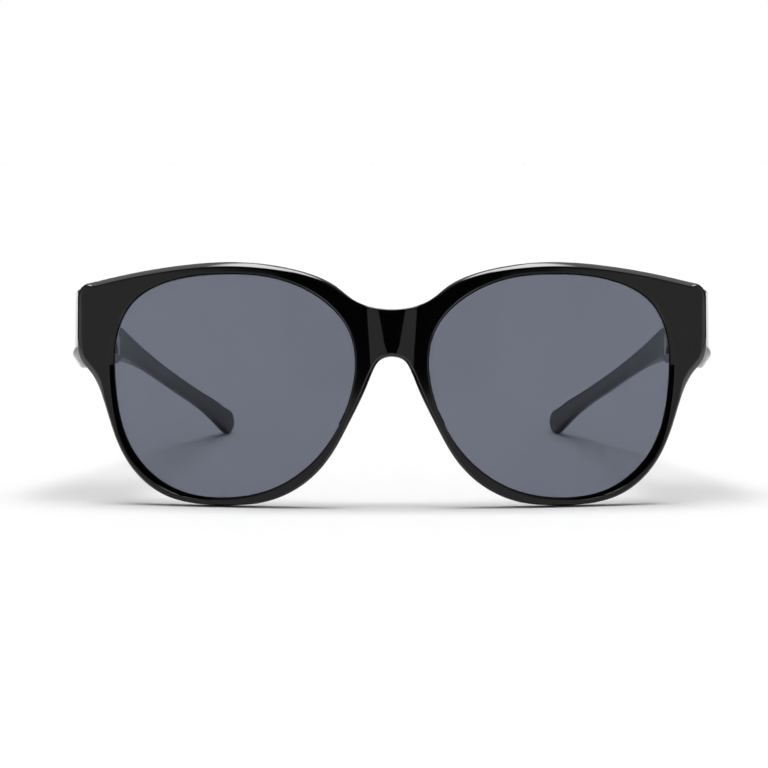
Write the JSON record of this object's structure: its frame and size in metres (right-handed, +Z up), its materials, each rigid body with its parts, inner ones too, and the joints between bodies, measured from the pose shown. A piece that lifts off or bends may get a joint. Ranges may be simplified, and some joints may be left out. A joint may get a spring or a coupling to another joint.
{
  "type": "fitover sunglasses",
  "caption": "Wide rounded fitover sunglasses, worn over prescription glasses: a curved glossy black front with two smoke-grey lenses and folding temples on screwed metal hinges.",
  "frame": {"origin": "centre of the footprint, on the surface that the rims and the temple tips stand on", "axes": "+X to the wearer's left, +Y back from the front along the temples, +Z up; the front leans back by 8.4 degrees as it stands"},
  "size_m": [0.1554, 0.151, 0.0571],
  "materials": {
    "frame_plastic": "glossy black injection moulding",
    "lens_plastic": "clear smoke-grey tint, polished",
    "hinge_metal": "satin nickel silver",
    "screw_steel": "polished stainless steel"
  },
  "bodies": {
    "front": {"front_frame": "frame_plastic", "lens_right": "lens_plastic", "lens_left": "lens_plastic", "front_hinge_right": "hinge_metal", "front_hinge_left": "hinge_metal", "hinge_screw_right": "screw_steel", "hinge_screw_left": "screw_steel", "front_hinge_screws_right": "screw_steel", "front_hinge_screws_left": "screw_steel"},
    "right_temple": {"temple_right": "frame_plastic", "temple_hinge_right": "hinge_metal", "temple_hinge_screws_right": "screw_steel"},
    "left_temple": {"temple_left": "frame_plastic", "temple_hinge_left": "hinge_metal", "temple_hinge_screws_left": "screw_steel"}
  },
  "joints": [
    {"name": "temple_fold_right", "type": "hinge", "parent": "front", "child": "right_temple", "pos_m": [-0.06755, -0.04931, 0.03798], "axis": [0, -0.1458, -0.9893], "range_deg": [0, 78]},
    {"name": "temple_fold_left", "type": "hinge", "parent": "front", "child": "left_temple", "pos_m": [0.06755, -0.04931, 0.03798], "axis": [0, 0.1458, 0.9893], "range_deg": [0, 84]}
  ]
}
